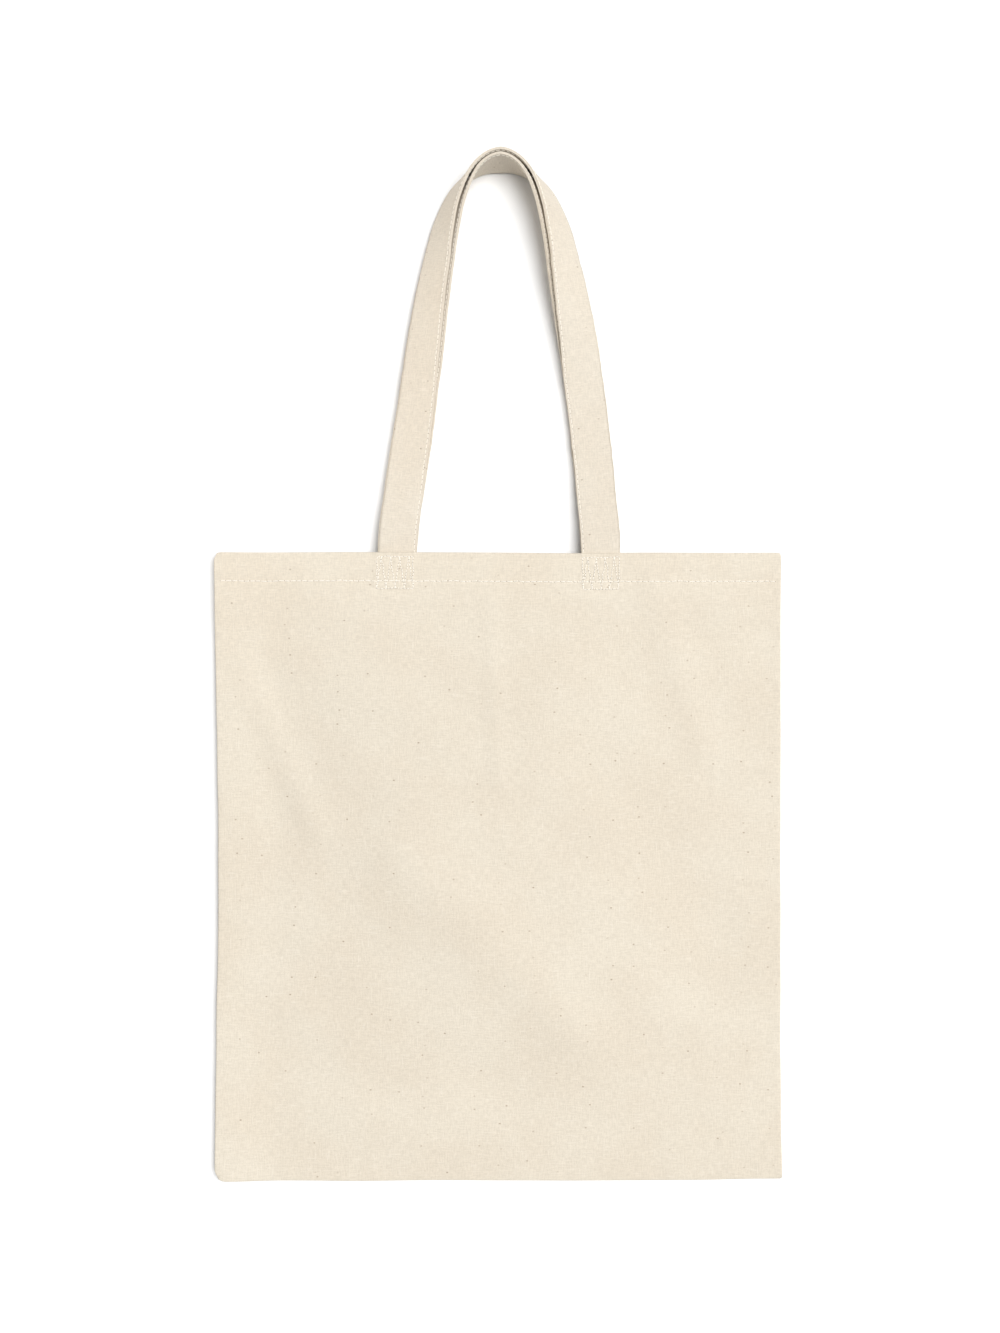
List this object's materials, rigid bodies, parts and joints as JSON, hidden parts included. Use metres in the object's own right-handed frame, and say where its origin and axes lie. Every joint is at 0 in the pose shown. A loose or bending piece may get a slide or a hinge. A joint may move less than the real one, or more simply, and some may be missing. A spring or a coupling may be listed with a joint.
{
  "type": "tote bag",
  "caption": "Flat canvas tote bag with a hemmed open mouth and long shoulder handles that swing, laid flat with its handles above the mouth.",
  "frame": {"origin": "middle of the footprint of the bag with its handles laid out, on the surface that it lies on", "axes": "+X across the bag to the right seen from the front, +Y from the bottom seam through the mouth to the tops of the handles, +Z out of the front panel"},
  "size_m": [0.38, 0.683, 0.026],
  "materials": {
    "canvas": "natural unbleached plain-weave cotton canvas, matt, with slubs and seed flecks",
    "strap": "the same canvas, folded into a flat strap, matt",
    "thread": "off-white cotton sewing thread, soft sheen",
    "overlock_thread": "off-white overlock thread, fuzzy and matt"
  },
  "bodies": {
    "back": {"back_panel": "canvas", "back_left_strap_end": "strap", "back_right_strap_end": "strap", "back_hem_stitching": "thread", "back_left_box_stitching": "thread", "back_right_box_stitching": "thread", "left_seam_overlock": "overlock_thread", "right_seam_overlock": "overlock_thread", "bottom_seam_overlock": "overlock_thread"},
    "front": {"front_panel": "canvas", "front_left_strap_end": "strap", "front_right_strap_end": "strap", "front_hem_stitching": "thread", "front_left_box_stitching": "thread", "front_right_box_stitching": "thread"},
    "front_handle": {"front_handle": "strap", "front_handle_edge_stitching": "thread"},
    "back_handle": {"back_handle": "strap", "back_handle_edge_stitching": "thread"}
  },
  "joints": [
    {"name": "mouth_open", "type": "hinge", "parent": "back", "child": "front", "pos_m": [0, -0.3405, 0.00205], "axis": [1, 0, 0], "range_deg": [0, 10]},
    {"name": "front_handle_swing", "type": "hinge", "parent": "front", "child": "front_handle", "pos_m": [0, 0.0805, 0.013], "axis": [1, 0, 0], "range_deg": [0, 165]},
    {"name": "back_handle_swing", "type": "hinge", "parent": "back", "child": "back_handle", "pos_m": [0, 0.0805, 0.0019], "axis": [1, 0, 0], "range_deg": [-165, 0]}
  ]
}
